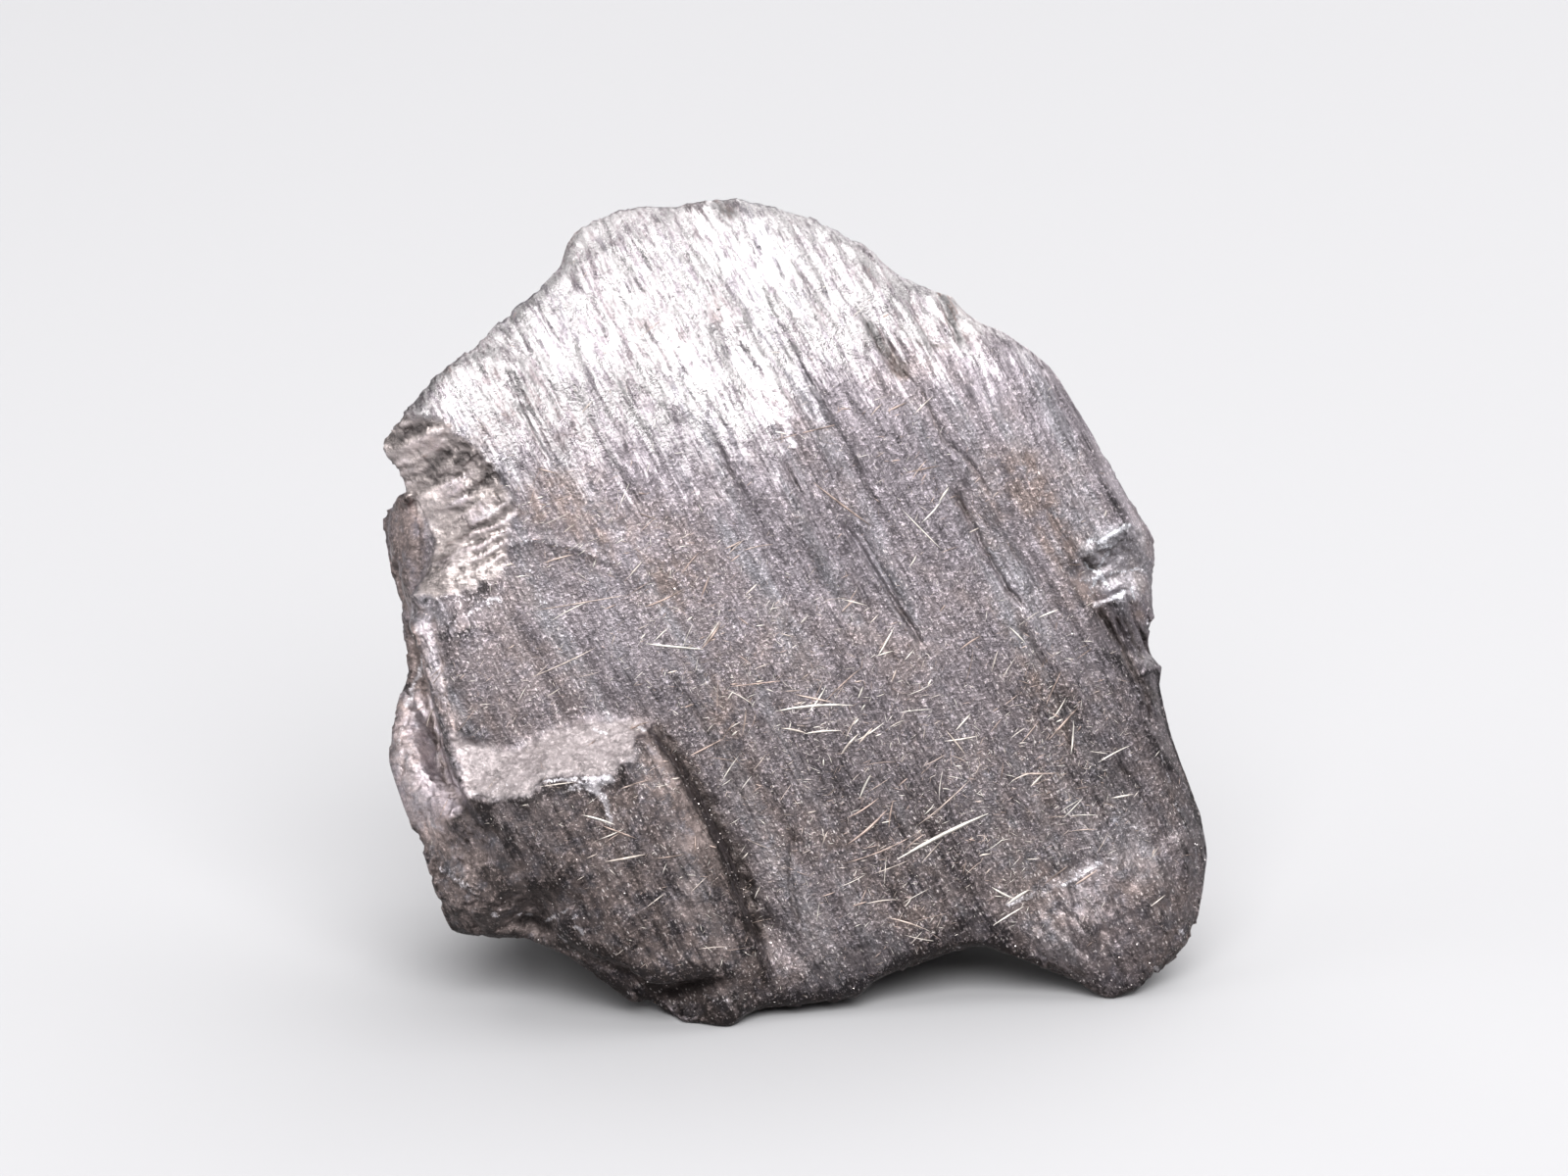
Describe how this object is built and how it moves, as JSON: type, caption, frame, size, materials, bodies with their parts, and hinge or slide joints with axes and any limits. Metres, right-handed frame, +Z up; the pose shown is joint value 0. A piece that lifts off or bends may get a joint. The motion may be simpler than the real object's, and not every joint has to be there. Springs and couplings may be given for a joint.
{
  "type": "andorite crystal",
  "caption": "Andorite crystal fragment: dark steel-grey metallic stone with one broad striated face, a rough left side and a raised lower block, standing on its edge",
  "frame": {"origin": "middle of the bounding box, on the ground that the stone stands on", "axes": "+Z up, the broad striated face looks towards -Y and leans back, +X to its right"},
  "size_m": [0.0304, 0.0148, 0.028],
  "materials": {
    "andorite": "dark steel-grey metallic lustre, brown tarnish"
  },
  "bodies": {
    "root": {"andorite_crystal": "andorite"}
  },
  "joints": []
}
